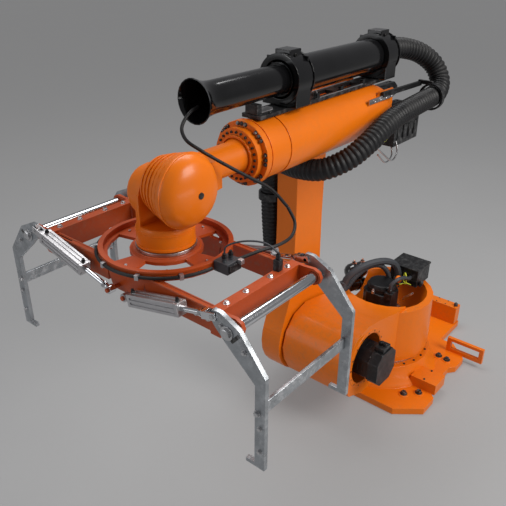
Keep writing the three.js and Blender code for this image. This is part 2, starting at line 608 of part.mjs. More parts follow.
for (const [sideName, side] of [['left', 1], ['right', -1]]) {
  add(`pivot_shaft_${sideName}`, pivotShaft(side), CHROME);
  add(`cross_bar_${sideName}`, crossBar(side), STEEL);
  for (const [endName, end] of [['front', 1], ['rear', -1]]) {
    const cylinder = side > 0 ? CYLINDER_AT_FRAME() : CYLINDER_TO_LEG();
    const piston = side > 0 ? ROD_TO_LEG() : ROD_AT_FRAME();
    add(`leg_${endName}_${sideName}`, clampLeg(side, end), STEEL);
    add(`cylinder_${endName}_${sideName}`, placeActuator(cylinder, side, end), ALLOY);
    add(`piston_rod_${endName}_${sideName}`, placeActuator(piston, side, end), CHROME);
  }
}

export default robot;
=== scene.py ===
"""The looks of the palletising robot: a six-axis arm with a hose pack and a pallet gripper."""
import json
import math

import bmesh
import bpy
from mathutils import Matrix, Vector

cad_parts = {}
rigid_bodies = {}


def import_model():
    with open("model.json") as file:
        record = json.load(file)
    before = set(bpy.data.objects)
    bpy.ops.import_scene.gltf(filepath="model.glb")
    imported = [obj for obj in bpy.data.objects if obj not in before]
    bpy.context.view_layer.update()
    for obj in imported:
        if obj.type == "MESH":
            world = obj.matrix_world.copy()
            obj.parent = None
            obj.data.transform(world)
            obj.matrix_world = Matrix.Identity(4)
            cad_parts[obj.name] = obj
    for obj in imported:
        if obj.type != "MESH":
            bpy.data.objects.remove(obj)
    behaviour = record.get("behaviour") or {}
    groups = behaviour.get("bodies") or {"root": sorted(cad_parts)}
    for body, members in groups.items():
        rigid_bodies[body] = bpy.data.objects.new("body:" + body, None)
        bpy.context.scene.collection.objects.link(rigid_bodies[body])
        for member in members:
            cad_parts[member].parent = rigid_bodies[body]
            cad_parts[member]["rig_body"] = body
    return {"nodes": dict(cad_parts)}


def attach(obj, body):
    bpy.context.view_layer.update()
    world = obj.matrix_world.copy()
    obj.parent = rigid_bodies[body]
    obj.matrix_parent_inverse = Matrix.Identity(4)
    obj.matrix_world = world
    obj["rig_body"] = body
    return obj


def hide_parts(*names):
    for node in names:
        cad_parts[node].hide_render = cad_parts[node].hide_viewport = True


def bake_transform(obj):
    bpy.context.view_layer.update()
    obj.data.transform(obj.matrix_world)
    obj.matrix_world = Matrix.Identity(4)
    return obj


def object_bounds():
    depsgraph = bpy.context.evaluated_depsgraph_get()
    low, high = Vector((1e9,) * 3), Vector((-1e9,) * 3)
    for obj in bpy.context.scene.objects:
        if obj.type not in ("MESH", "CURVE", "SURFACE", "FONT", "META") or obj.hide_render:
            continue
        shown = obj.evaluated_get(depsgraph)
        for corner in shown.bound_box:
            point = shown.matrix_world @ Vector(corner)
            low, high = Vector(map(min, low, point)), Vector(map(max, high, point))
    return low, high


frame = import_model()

CAD_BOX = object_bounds()
MM = 0.001
X, Y, Z = Vector((1, 0, 0)), Vector((0, 1, 0)), Vector((0, 0, 1))


# ---------------------------------------------------------------- camera

def make_camera():
    place = Vector((3.0768, 1.4969, 2.4818))
    yaw, down, roll = math.radians(219.712), math.radians(27.292), math.radians(0.3)
    look = Vector((math.cos(yaw) * math.cos(down), math.sin(yaw) * math.cos(down), -math.sin(down)))
    right = Vector((math.sin(yaw), -math.cos(yaw), 0))
    up = right.cross(look)
    right, up = right * math.cos(roll) + up * math.sin(roll), up * math.cos(roll) - right * math.sin(roll)
    data = bpy.data.cameras.new("camera")
    data.sensor_width = 36
    data.lens = 44.71
    data.clip_end = 200
    camera = bpy.data.objects.new("camera", data)
    turn = Matrix((right, up, -look)).transposed().to_4x4()
    camera.matrix_world = Matrix.Translation(place) @ turn
    bpy.context.scene.collection.objects.link(camera)
    bpy.context.scene.camera = camera
    return look, right


LOOK, RIGHT = make_camera()


# ---------------------------------------------------------------- materials

def node(tree, kind, **values):
    """Adds a shader node. Keys that start with in_ are its sockets."""
    made = tree.nodes.new(kind)
    for key, value in values.items():
        if key.startswith("in_"):
            made.inputs[key[3:]].default_value = value
        else:
            setattr(made, key, value)
    return made


def ramp(tree, source, low, high, stops=(0.3, 0.7)):
    """A colour between low and high, by the value of source."""
    made = tree.nodes.new("ShaderNodeValToRGB")
    for stop, place, colour in zip(made.color_ramp.elements, stops, (low, high)):
        stop.position = place
        stop.color = colour
    tree.links.new(source, made.inputs["Fac"])
    return made.outputs["Color"]


def grey(v):
    return (v, v, v, 1)


def shade(colour, k):
    return tuple(min(1, c * k) for c in colour) + (1,)


def surface(name, colour, rough=0.4, metallic=0.0, coat=0.0, tone=0.1, mottle=3.0, grain=420.0,
            bump=0.08, wear=None, wear_share=0.5, brushed=None, spread=0.12, dust=0.0, specular=0.5, glow=0.0):
    """A procedural finish: broad colour variation, fine grain, worn edges and uneven gloss."""
    material = bpy.data.materials.new(name)
    material.use_nodes = True
    tree = material.node_tree
    link = tree.links.new
    shader = tree.nodes["Principled BSDF"]
    shader.inputs["Metallic"].default_value = metallic
    shader.inputs["Coat Weight"].default_value = coat
    shader.inputs["Coat Roughness"].default_value = 0.12
    shader.inputs["Specular IOR Level"].default_value = specular
    shader.inputs["Emission Color"].default_value = grey(glow)
    shader.inputs["Emission Strength"].default_value = 1.0 if glow else 0.0
    place = node(tree, "ShaderNodeTexCoord")
    where = place.outputs["Object"]
    if brushed:
        stretch = node(tree, "ShaderNodeMapping", in_Scale=brushed)
        link(where, stretch.inputs["Vector"])
        fine_at = stretch.outputs["Vector"]
    else:
        fine_at = where
    broad = node(tree, "ShaderNodeTexNoise", in_Scale=mottle, in_Detail=6.0, in_Roughness=0.6)
    link(where, broad.inputs["Vector"])
    fine = node(tree, "ShaderNodeTexNoise", in_Scale=grain, in_Detail=4.0, in_Roughness=0.6)
    link(fine_at, fine.inputs["Vector"])
    out = ramp(tree, broad.outputs["Fac"], shade(colour, 1 - tone), shade(colour, 1 + tone))
    speck = node(tree, "ShaderNodeMix", data_type="RGBA", blend_type="MULTIPLY")
    speck.inputs[0].default_value = 0.5
    link(out, speck.inputs[6])
    link(ramp(tree, fine.outputs["Fac"], grey(1 - tone), grey(1), (0.25, 0.6)), speck.inputs[7])
    out = speck.outputs[2]
    if dust:
        layer = node(tree, "ShaderNodeMix", data_type="RGBA")
        layer.inputs[7].default_value = (0.32, 0.29, 0.25, 1)
        facing = node(tree, "ShaderNodeNewGeometry")
        upward = node(tree, "ShaderNodeSeparateXYZ")
        link(facing.outputs["Normal"], upward.inputs["Vector"])
        amount = node(tree, "ShaderNodeMath", operation="MULTIPLY", use_clamp=True)
        link(upward.outputs["Z"], amount.inputs[0])
        patch = ramp(tree, broad.outputs["Fac"], grey(0), grey(dust), (0.35, 0.75))
        link(patch, amount.inputs[1])
        link(amount.outputs[0], layer.inputs[0])
        link(out, layer.inputs[6])
        out = layer.outputs[2]
    if wear:
        edge = node(tree, "ShaderNodeNewGeometry")
        edges = ramp(tree, edge.outputs["Pointiness"], grey(0), grey(1), (0.53, 0.60))
        rub = node(tree, "ShaderNodeTexNoise", in_Scale=38.0, in_Detail=8.0, in_Roughness=0.75)
        link(where, rub.inputs["Vector"])
        patchy = ramp(tree, rub.outputs["Fac"], grey(0), grey(wear_share), (0.48, 0.62))
        amount = node(tree, "ShaderNodeMath", operation="MULTIPLY", use_clamp=True)
        link(edges, amount.inputs[0])
        link(patchy, amount.inputs[1])
        worn = node(tree, "ShaderNodeMix", data_type="RGBA")
        worn.inputs[7].default_value = wear + (1,)
        link(amount.outputs[0], worn.inputs[0])
        link(out, worn.inputs[6])
        out = worn.outputs[2]
    link(out, shader.inputs["Base Color"])
    gloss = node(tree, "ShaderNodeMapRange")
    gloss.inputs["From Min"].default_value = 0.3
    gloss.inputs["From Max"].default_value = 0.7
    gloss.inputs["To Min"].default_value = max(0.03, rough - spread)
    gloss.inputs["To Max"].default_value = min(1, rough + spread)
    link(broad.outputs["Fac"], gloss.inputs["Value"])
    link(gloss.outputs["Result"], shader.inputs["Roughness"])
    relief = node(tree, "ShaderNodeBump", in_Strength=bump, in_Distance=0.001)
    link(fine.outputs["Fac"], relief.inputs["Height"])
    link(relief.outputs["Normal"], shader.inputs["Normal"])
    return material


ORANGE = surface("orange_paint", (0.77, 0.165, 0.003), 0.36, specular=0.28, coat=0.12, tone=0.05,
                 mottle=2.2, grain=300, bump=0.05, wear=(0.40, 0.16, 0.05), wear_share=0.5, spread=0.08)
RED = surface("red_orange_paint", (0.44, 0.060, 0.006), 0.44, specular=0.3, coat=0.08, tone=0.14, mottle=5,
              grain=260, bump=0.10, wear=(0.30, 0.12, 0.06), wear_share=0.6, dust=0.08)
GLOSS = surface("black_gloss_lacquer", (0.004, 0.004, 0.0045), 0.14, specular=0.3, coat=0.3, tone=0.25,
                mottle=6, grain=500, bump=0.03, spread=0.05)
MOTOR = surface("motor_black_paint", (0.007, 0.007, 0.008), 0.40, specular=0.3, coat=0.08, tone=0.25,
                mottle=9, grain=500, bump=0.12, wear=(0.10, 0.10, 0.10), wear_share=0.7)
BRACKET = surface("bracket_black", (0.010, 0.010, 0.011), 0.42, specular=0.3, tone=0.2, mottle=8, grain=600,
                  bump=0.12, wear=(0.16, 0.16, 0.16), wear_share=0.7)
PLASTIC = surface("grey_moulded_plastic", (0.035, 0.038, 0.045), 0.50, tone=0.15, mottle=8, grain=900,
                  bump=0.15)
STEEL = surface("machined_steel", (0.56, 0.56, 0.57), 0.30, metallic=1.0, tone=0.12, mottle=10, grain=120,
                bump=0.05, brushed=(1, 1, 12), spread=0.12)
LEG = surface("galvanised_leg_steel", (0.36, 0.38, 0.40), 0.34, metallic=0.85, tone=0.22, mottle=14,
              grain=160, bump=0.07, wear=(0.75, 0.76, 0.78), wear_share=1.0, spread=0.15)
CHROME = surface("chromed_shaft", (0.66, 0.67, 0.69), 0.12, metallic=1.0, tone=0.05, mottle=6, grain=200,
                 bump=0.015, brushed=(30, 1, 1), spread=0.05)
TANK = surface("accumulator_lacquer", (0.010, 0.008, 0.008), 0.10, coat=0.8, tone=0.3, mottle=5, grain=400,
               bump=0.02, spread=0.04)
ALLOY = surface("anodised_alloy", (0.52, 0.51, 0.52), 0.36, metallic=0.85, tone=0.10, mottle=12, grain=140,
                bump=0.05, brushed=(1, 16, 16), spread=0.10)
RUBBER = surface("corrugated_rubber", (0.009, 0.009, 0.010), 0.50, specular=0.3, tone=0.25, mottle=10,
                 grain=700, bump=0.18, wear=(0.06, 0.06, 0.06), wear_share=0.6, dust=0.05)
COPPER = surface("copper_fitting", (0.72, 0.33, 0.22), 0.28, metallic=1.0, tone=0.15, mottle=30, grain=300,
                 bump=0.04)
EARTH = surface("earth_wire_sheath", (0.62, 0.66, 0.03), 0.45, tone=0.2, mottle=60, grain=500, bump=0.05)
DARK = surface("blackened_bolt", (0.05, 0.048, 0.046), 0.38, metallic=0.7, tone=0.3, mottle=40, grain=500,
               bump=0.08, wear=(0.4, 0.4, 0.4), wear_share=0.9)


# ---------------------------------------------------------------- mesh building

def smooth(mesh, angle=38):
    mesh.polygons.foreach_set("use_smooth", [True] * len(mesh.polygons))
    mesh.set_sharp_from_angle(angle=math.radians(angle))


def place(name, mesh, body, material, replaced=()):
    """Puts a finished mesh in the scene on its body."""
    made = bpy.data.objects.new(name, mesh)
    bpy.context.scene.collection.objects.link(made)
    mesh.materials.clear()
    mesh.materials.append(material)
    even = made.modifiers.new("even_normals", "WEIGHTED_NORMAL")
    even.keep_sharp = True
    if body:
        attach(made, body)
    if replaced:
        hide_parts(*replaced)
    return made


def soften(bm, width, angle=32, segments=2):
    """Rounds the edges that turn by more than angle degrees."""
    edges = [e for e in bm.edges if e.is_manifold and e.calc_face_angle(0) > math.radians(angle)]
    if edges:
        bmesh.ops.bevel(bm, geom=edges, offset=width, offset_type="OFFSET", segments=segments,
                        profile=0.6, affect="EDGES", clamp_overlap=True)


def refined(name, material, width):
    """A rounded, smoothly shaded skin made from a CAD node's own surface."""
    source = frame["nodes"][name]
    bm = bmesh.new()
    bm.from_mesh(source.data)
    bmesh.ops.remove_doubles(bm, verts=bm.verts, dist=2e-5)
    bmesh.ops.dissolve_limit(bm, angle_limit=math.radians(0.6), verts=bm.verts, edges=bm.edges)
    soften(bm, width * MM)
    mesh = bpy.data.meshes.new(name + "_skin")
    bm.to_mesh(mesh)
    bm.free()
    smooth(mesh)
    return place(name + "_skin", mesh, source["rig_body"], material, (name,))


def turns(count):
    """The angles of count points round a circle."""
    return [2 * math.pi * k / count for k in range(count)]


class Shape:
    """A mesh put together from closed shells, all in millimetres."""

    def __init__(self):
        self.bm = bmesh.new()

    def take(self, part, matrix=Matrix.Identity(4)):
        mesh = bpy.data.meshes.new("shell")
        part.transform(matrix)
        part.to_mesh(mesh)
        part.free()
        self.bm.from_mesh(mesh)
        bpy.data.meshes.remove(mesh)
        return self

    def lathe(self, origin, axis, profile, seg=72, ease=2.0):
        """Turns (distance along, radius) points about the axis, with eased corners."""
        points = eased(profile, ease)
        n = Vector(axis).normalized()
        u = n.orthogonal().normalized()
        v = n.cross(u)
        part = bmesh.new()
        rings = []
        for along, radius in points:
            if radius < 0.01:
                rings.append([part.verts.new(Vector(origin) + n * along)])
                continue
            middle = Vector(origin) + n * along
            rings.append([part.verts.new(middle + (u * math.cos(t) + v * math.sin(t)) * radius) for t in turns(seg)])
        for a, b in zip(rings, rings[1:]):
            for k in range(seg):
                j = (k + 1) % seg
                if len(a) == 1 and len(b) == 1:
                    continue
                if len(a) == 1:
                    part.faces.new((a[0], b[j], b[k]))
                elif len(b) == 1:
                    part.faces.new((a[k], a[j], b[0]))
                else:
                    part.faces.new((a[k], a[j], b[j], b[k]))
        for ring, flip in ((rings[0], True), (rings[-1], False)):
            if len(ring) > 1:
                part.faces.new(ring[::-1] if flip else ring)
        bmesh.ops.recalc_face_normals(part, faces=part.faces)
        return self.take(part)

    def ring(self, origin, axis, profile, seg=72, ease=1.5):
        """Turns a closed loop of (distance along, radius) points into a ring."""
        points = eased(list(profile) + [profile[0]], ease)[:-1]
        n = Vector(axis).normalized()
        u = n.orthogonal().normalized()
        v = n.cross(u)
        part = bmesh.new()
        rings = [[part.verts.new(Vector(origin) + n * along + (u * math.cos(t) + v * math.sin(t)) * radius)
                  for t in turns(seg)] for along, radius in points]
        for i in range(len(rings)):
            a, b = rings[i], rings[(i + 1) % len(rings)]
            for k in range(seg):
                j = (k + 1) % seg
                part.faces.new((a[k], a[j], b[j], b[k]))
        bmesh.ops.recalc_face_normals(part, faces=part.faces)
        return self.take(part)

    def prism(self, outline, origin, u, v, thick, width=1.5, turn=Matrix.Identity(4)):
        """An outline in the plane of u and v, given thickness along u x v, with rounded edges."""
        part = bmesh.new()
        u, v = Vector(u), Vector(v)
        n = u.cross(v).normalized()
        low = [part.verts.new(Vector(origin) + u * a + v * b) for a, b in outline]
        high = [part.verts.new(w.co + n * thick) for w in low]
        part.faces.new(low[::-1])
        part.faces.new(high)
        for k in range(len(low)):
            j = (k + 1) % len(low)
            part.faces.new((low[k], low[j], high[j], high[k]))
        bmesh.ops.recalc_face_normals(part, faces=part.faces)
        if width:
            soften(part, width, 20)
        return self.take(part, turn)

    def box(self, low, high, width=1.5, turn=Matrix.Identity(4)):
        (a, b, c), (d, e, f) = low, high
        return self.prism([(a, b), (d, b), (d, e), (a, e)], (0, 0, c), X, Y, f - c, width, turn)

    def bolt(self, at, axis, size, tall):
        """A hexagon head on its washer. size is half the width across the flats."""
        n = Vector(axis).normalized()
        base, brim = size * 0.28, size * 1.55
        self.lathe(at, n, [(0, 0), (0, brim), (base, brim), (base, 0)], 20, size * 0.1)
        r = size / math.cos(math.pi / 6)
        self.lathe(Vector(at) + n * base, n, [(0, 0), (0, r), (tall * 0.8, r), (tall, r * 0.84), (tall, 0)], 6, 0)
        return self

    def screw(self, at, axis, size=6.0, tall=None):
        """A socket head cap screw with its hexagon recess."""
        n = Vector(axis).normalized()
        tall = tall or size * 1.1
        self.lathe(at, n, [(0, 0), (0, size), (tall, size), (tall, size * 0.55), (tall * 0.5, size * 0.5),
                           (tall * 0.45, 0)], 18, size * 0.12)
        return self

    def circle(self, make, centre, axis, radius, count, start=0.0, **more):
        """Repeats a fastener round a circle."""
        n = Vector(axis).normalized()
        u = (Z - n * n.z).normalized() if abs(n.z) < 0.9 else X
        v = n.cross(u)
        for k in range(count):
            t = math.radians(start + 360 * k / count)
            make(Vector(centre) + (u * math.cos(t) + v * math.sin(t)) * radius, n, **more)
        return self

    def tube(self, path, radius, seg):
        """A tube along a path. radius is a number, or a function of the distance along it."""
        part = bmesh.new()
        frames = carried(path)
        rings, along = [], 0.0
        for i, (p, u, v) in enumerate(frames):
            if i:
                along += (p - frames[i - 1][0]).length
            r = radius(along) if callable(radius) else radius
            rings.append([part.verts.new(p + (u * math.cos(t) + v * math.sin(t)) * r) for t in turns(seg)])
        for a, b in zip(rings, rings[1:]):
            for k in range(seg):
                j = (k + 1) % seg
                part.faces.new((a[k], a[j], b[j], b[k]))
        part.faces.new(rings[0][::-1])
        part.faces.new(rings[-1])
        bmesh.ops.recalc_face_normals(part, faces=part.faces)
        return self.take(part)

    def mesh(self, name):
        made = bpy.data.meshes.new(name)
        self.bm.transform(Matrix.Scale(MM, 4))
        self.bm.to_mesh(made)
        self.bm.free()
        smooth(made)
        return made

    def place(self, name, body, material, replaced=()):
        return place(name, self.mesh(name), body, material, replaced)


SPAN_STEPS = 40


def eased(profile, ease):
    """Replaces each inner corner of a polyline by three points on a small round."""
    if not ease:
        return list(profile)
    out = [Vector(profile[0])]
    for a, b, c in zip(profile, profile[1:], profile[2:]):
        a, b, c = Vector(a), Vector(b), Vector(c)
        before, after = a - b, c - b
        if before.length < 1e-6 or after.length < 1e-6:
            continue
        cut = min(ease, before.length * 0.45, after.length * 0.45)
        p, q = b + before.normalized() * cut, b + after.normalized() * cut
        out += [p, (p + q) / 4 + b / 2, q]
    return [tuple(p) for p in out] + [tuple(profile[-1])]


def carried(path):
    """The path's points with a pair of cross directions that turn as little as possible."""
    points = [Vector(p) for p in path]
    ways = [(b - a).normalized() for a, b in zip(points, points[1:])]
    ways = [ways[0]] + [(a + b).normalized() for a, b in zip(ways, ways[1:])] + [ways[-1]]
    u = ways[0].orthogonal().normalized()
    out = []
    for p, way in zip(points, ways):
        u = (u - way * u.dot(way)).normalized()
        out.append((p, u, way.cross(u)))
    return out


def curve_points(controls, step):
    """Centripetal Catmull-Rom curve through the control points, sampled at an even step."""
    pts = [Vector(p) for p in controls]
    pts = [2 * pts[0] - pts[1]] + pts + [2 * pts[-1] - pts[-2]]
    dense = []
    for i in range(1, len(pts) - 2):
        p0, p1, p2, p3 = pts[i - 1:i + 3]
        t0 = 0.0
        t1 = max(1e-6, (p1 - p0).length) ** 0.5
        t2 = t1 + max(1e-6, (p2 - p1).length) ** 0.5
        t3 = t2 + max(1e-6, (p3 - p2).length) ** 0.5
        for k in range(SPAN_STEPS):
            t = t1 + (t2 - t1) * k / SPAN_STEPS
            a1 = p0 * ((t1 - t) / (t1 - t0)) + p1 * ((t - t0) / (t1 - t0))
            a2 = p1 * ((t2 - t) / (t2 - t1)) + p2 * ((t - t1) / (t2 - t1))
            a3 = p2 * ((t3 - t) / (t3 - t2)) + p3 * ((t - t2) / (t3 - t2))
            b1 = a1 * ((t2 - t) / (t2 - t0)) + a2 * ((t - t0) / (t2 - t0))
            b2 = a2 * ((t3 - t) / (t3 - t1)) + a3 * ((t - t1) / (t3 - t1))
            dense.append(b1 * ((t2 - t) / (t2 - t1)) + b2 * ((t - t1) / (t2 - t1)))
    dense.append(pts[-2])
    total = sum((b - a).length for a, b in zip(dense, dense[1:]))
    count = max(2, round(total / step))
    out, gone, target = [dense[0]], 0.0, total / count
    for a, b in zip(dense, dense[1:]):
        span = (b - a).length
        while span > 0 and gone + span >= target - 1e-9 and len(out) < count:
            out.append(a + (b - a) * ((target - gone) / span))
            target += total / count
        gone += span
    out.append(dense[-1])
    return out, total


# ---------------------------------------------------------------- hoses and cables

RIB = 22.0
HOSE_R = 50.0
CABLE_R = 6.0

HOSE_UPPER = [(470, 0, 1966), (400, 0, 1966), (320, 0, 1970), (230, 4, 1974), (140, 20, 1964), (50, 62, 1934),
              (-8, 114, 1876), (-4, 158, 1808), (50, 180, 1764), (127, 184, 1750), (190, 184, 1746),
              (310, 184, 1738), (450, 184, 1726), (600, 190, 1700), (710, 184, 1655), (800, 142, 1594),
              (868, 56, 1544), (868, -60, 1522), (830, -170, 1508), (786, -280, 1494), (752, -368, 1462),
              (694, -402, 1404), (650, -408, 1330), (640, -408, 1280), (640, -408, 1237)]
HOSE_LOWER = [(640, -408, 1235), (640, -408, 1190), (634, -408, 1100), (622, -408, 980), (606, -407, 840),
              (570, -406, 700), (510, -405, 560), (425, -403, 430), (310, -396, 324), (200, -374, 258),
              (110, -357, 234), (60, -356, 232), (30, -356, 232), (2, -356, 232)]
CABLE_1 = [(1570, 0, 1946), (1604, 0, 1936), (1638, 2, 1914), (1664, 14, 1890), (1674, 44, 1862),
           (1650, 86, 1830), (1596, 130, 1783)]
CABLE_2 = [(1594.7, 131.1, 1782), (1524, 174, 1728), (1435, 216, 1662), (1385, 252, 1590)]
CABLE_3 = [(1383.4, 253.3, 1587), (1380, 284, 1536), (1430, 312, 1512), (1522, 326, 1513), (1606, 300, 1510),
           (1660, 280, 1503), (1690, 270, 1500)]


def ribbed(depth, rib):
    """Radius of a corrugated hose at a distance along it: round crests and narrow grooves."""
    def radius(along):
        wave = 0.5 + 0.5 * math.cos(2 * math.pi * along / rib)
        return HOSE_R - depth * (1 - wave ** 0.55)
    return radius


def free_cord(name, controls, radius, material, step, seg):
    """A hose or cable that crosses one joint, made as a single fixed tube that follows no body."""
    path, total = curve_points(controls, step)
    size = radius(0) if callable(radius) else radius
    made = Shape().tube(path, radius, seg).place(name + "_tube", None, material, (name,))
    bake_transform(made)


free_cord("hose_upper", HOSE_UPPER, ribbed(5.5, RIB),
                       RUBBER, RIB / 8, 32)
free_cord("hose_lower", HOSE_LOWER, ribbed(5.5, RIB),
                       RUBBER, RIB / 8, 32)
free_cord("tool_cable_1", CABLE_1, CABLE_R,
          RUBBER, 6, 16)
free_cord("tool_cable_2", CABLE_2, CABLE_R,
          RUBBER, 6, 16)
free_cord("tool_cable_3", CABLE_3, CABLE_R,
          RUBBER, 6, 16)


# ---------------------------------------------------------------- skins from the CAD surfaces

SKINS = {
    ORANGE: {"base_casting": 7, "connector_housing": 3, "column_housing": 9, "link_arm": 9, "arm_housing": 5,
             "arm_front_tube": 2.5, "wrist_yoke": 3, "swivel_housing": 6},
    BRACKET: {"junction_box": 4, "rear_box": 4, "hose_gland": 3, "hose_collar": 4, "hose_ring": 3,
              "tube_rail": 1.5},
    GLOSS: {"tube_clamp_front": 4, "tube_clamp_rear": 4, "retraction_tube": 1.2, "guide_tube": 1.2,
            "counterbalance_cylinder": 2},
    TANK: {"accumulator_rear": 1, "accumulator_front": 1},
    MOTOR: {"axis1_motor": 5, "axis2_motor": 4, "axis4_motor": 4, "axis5_motor": 4, "axis6_motor": 4},
    PLASTIC: {"valve_block": 2, "conduit": 0.8},
    RED: {"carrier_plate": 2.5, "side_frame_left": 3, "side_frame_right": 3},
    LEG: {"leg_front_left": 1.6, "leg_rear_left": 1.6, "leg_front_right": 1.6, "leg_rear_right": 1.6,
          "cross_bar_left": 1.5, "cross_bar_right": 1.5},
    STEEL: {"tool_flange": 1.5, "axis1_bearing": 2, "axis1_gearbox": 3, "axis2_gearbox": 3, "axis3_gearbox": 3},
    CHROME: {"pivot_shaft_left": 1.5, "pivot_shaft_right": 1.5, "counterbalance_rod": 1.5},
    RUBBER: {"rim_cable": 0.4},
}
for finish, rows in SKINS.items():
    for cad_name, edge in rows.items():
        refined(cad_name, finish, edge)


# ---------------------------------------------------------------- fasteners and fittings

# Main dimensions of the arm, in mm: axis 2, the link arm's upper hub and outer face, the forearm's axis,
# the tube on top of it, axis 6, and the pivot shafts of the clamp legs.
HIP_X, HIP_Z = 550, 415
ELBOW_Z = 1765
LINK_FACE = -339
ROLL_Z = 1724
TUBE_Z = 1966
TOOL_X = 1750
PIVOT_Y, PIVOT_Z = 497, 1463
SIDES = (1, -1)
FLANGE_BOLTS = [45 * g + 9 * k for g in range(8) for k in (-1, 0, 1)]


def base_details():
    bolts, pads = Shape(), Shape()
    for side in SIDES:
        for x, y in ((259, 318), (194, 382), (-222, 314), (-215, 372)):
            pads.lathe((x, side * y, 41), Z, [(0, 0), (0, 31), (5, 29), (5, 0)], 40, 1.2)
            bolts.bolt((x, side * y, 46), Z, 14, 14)
        for x in (35, 135):
            bolts.screw((x, side * 381, 107), Z, 6)
    bolts.circle(bolts.screw, (0, 0, 159), Z, 284, 24, size=6.5, tall=6)
    for k in range(6):
        bolts.screw((-690, -112 + 65 * k, 171.5), Z, 4, 3)
        bolts.screw((-642, -112 + 65 * k, 171.5), Z, 4, 3)
    bolts.place("base_bolts", "base", DARK)
    pads.place("base_bolt_pads", "base", ORANGE)
    plugs = Shape()
    for y in (-84, -28, 28, 84, 140, 196):
        plugs.lathe((-640, y, 108), -X, [(0, 0), (0, 24), (12, 24), (12, 20), (30, 20), (34, 17), (34, 12),
                                         (20, 12), (20, 0)], 40, 1)
    plugs.lathe((-664, 214, 171), Z, [(0, 0), (0, 13), (16, 13), (24, 8), (24, 0)], 28, 1.5)
    plugs.place("supply_sockets", "base", PLASTIC)


def column_details():
    bolts = Shape()
    bolts.circle(bolts.screw, (-10, 0, 348), Z, 131, 16, size=6.5, tall=8)
    for dx in SIDES:
        for dy in SIDES:
            bolts.screw((60 + 74 * dx, 74 * dy, 559), Z, 6)
            bolts.screw((-200 + 72 * dx, 50 + 82 * dy, 648), Z, 4, 4)
            bolts.screw((HIP_X + 74 * dx, 261, HIP_Z + 74 * dy), Y, 5, 6)
    bolts.circle(bolts.screw, (HIP_X, 97, HIP_Z), Y, 109, 10, 18, size=5, tall=6)
    bolts.circle(bolts.screw, (HIP_X, 199, HIP_Z), Y, 160, 16, size=5.5, tall=5)
    bolts.place("column_bolts", "column", DARK)
    black = Shape()
    black.ring((60, 0, 566), Z, [(0, 82), (0, 87), (6, 87), (6, 82)], 64, 1)
    black.ring((60, 0, 580), Z, [(0, 82), (0, 87), (6, 87), (6, 82)], 64, 1)
    black.box((-286, -46, 636), (-114, 146, 648), 3)
    black.box((512, 262, 512), (588, 316, 540), 4)
    for y in (276, 302):
        black.lathe((HIP_X, y, 538), Z, [(0, 0), (0, 11), (16, 11), (20, 8), (20, 0)], 28, 1)
    for x in range(5):
        black.ring((HIP_X, 120 + 26 * x, HIP_Z), Y, [(0, 88), (0, 96), (7, 96), (7, 88)], 64, 1)
    black.lathe((-41, 0, 529), Z, [(0, 0), (0, 16), (22, 16), (22, 12), (36, 12), (36, 0)], 32, 1)
    black.box((90, 60, 540), (140, 108, 584), 4)
    black.lathe((116, 84, 582), Z, [(0, 0), (0, 15), (20, 15), (26, 10), (26, 0)], 32, 1)
    black.place("motor_fittings", "column", MOTOR)
    grey_parts = Shape()
    for at, way in (((-92, 30, 545), (0.05, -0.05, 1)), ((236, -162, 574), (-0.3, -0.1, 1))):
        grey_parts.lathe(at, way, [(-6, 0), (-6, 30), (10, 30), (10, 26), (34, 26), (38, 22), (38, 0)], 36, 1.5)
    path, _ = curve_points([(-30, 0, 560), (-26, -10, 620), (6, -46, 672), (70, -92, 676), (140, -136, 620),
                            (196, -160, 560), (226, -172, 540)], 5)
    grey_parts.tube(path, lambda d: 15.0 + 0.9 * math.cos(d * 2 * math.pi / 7), 20)
    path, _ = curve_points([(116, 84, 600), (118, 90, 640), (80, 112, 668), (10, 120, 650), (-60, 110, 610),
                            (-120, 96, 590)], 4)
    grey_parts.tube(path, lambda d: 11.0 + 0.7 * math.cos(d * 2 * math.pi / 6), 18)
    grey_parts.lathe((-150, 150, 540), (0.2, 0.4, 1), [(0, 0), (0, 13), (30, 13), (38, 9), (38, 0)], 28, 1)
    grey_parts.place("conduit_fittings", "column", PLASTIC)
    loop = [(-66 + 24 * math.cos(t / 12 * math.tau), 86 + 20 * math.cos(t / 12 * math.tau),
             600 + 34 * math.sin(t / 12 * math.tau)) for t in range(12)]
    path, _ = curve_points([(-52, 60, 556)] + loop[9:] + loop[:9] + [(-92, 118, 556)], 3)
    Shape().tube(path, 3.2, 12).place("earth_wire", "column", EARTH)
    Shape().lathe((-20, 62, 600), (0.2, 0.5, 1), [(0, 0), (0, 20), (22, 20), (28, 14), (28, 0)], 36, 2) \
        .place("coloured_cap", "column", ORANGE)
    bright = Shape()
    for dx in (0, 16):
        bright.prism([(0, 0), (9, 0), (58, 52), (58, 60), (50, 60), (0, 10)], (52 + dx, 146, 540), Y, Z, 5, 1.2)
    bright.lathe((150, -6, 560), Z, [(0, 0), (0, 10), (18, 10), (18, 6), (30, 6), (30, 0)], 24, 1)
    bright.place("connector_levers", "column", STEEL)
    bosses = Shape()
    for x, z in ((110, 560), (330, 576)):
        bosses.lathe((x, 60, z - 36), Z, [(0, 0), (0, 15), (5, 14), (5, 0)], 28, 1)
    bosses.ring((HIP_X, 199, HIP_Z), Y, [(0, 148), (0, 172), (4, 170), (4, 150)], 72, 1.5)
    bosses.place("column_bosses", "column", ORANGE)


CYLINDER_FOOT = Vector((-180, -278, 385))
CYLINDER_TILT = math.atan2(205, 730)


def on_counterbalance(along, up=0.0):
    """A point along the counterbalance cylinder's axis, and up from it."""
    c, s = math.cos(CYLINDER_TILT), math.sin(CYLINDER_TILT)
    return CYLINDER_FOOT + X * (along * c - up * s) + Z * (along * s + up * c)


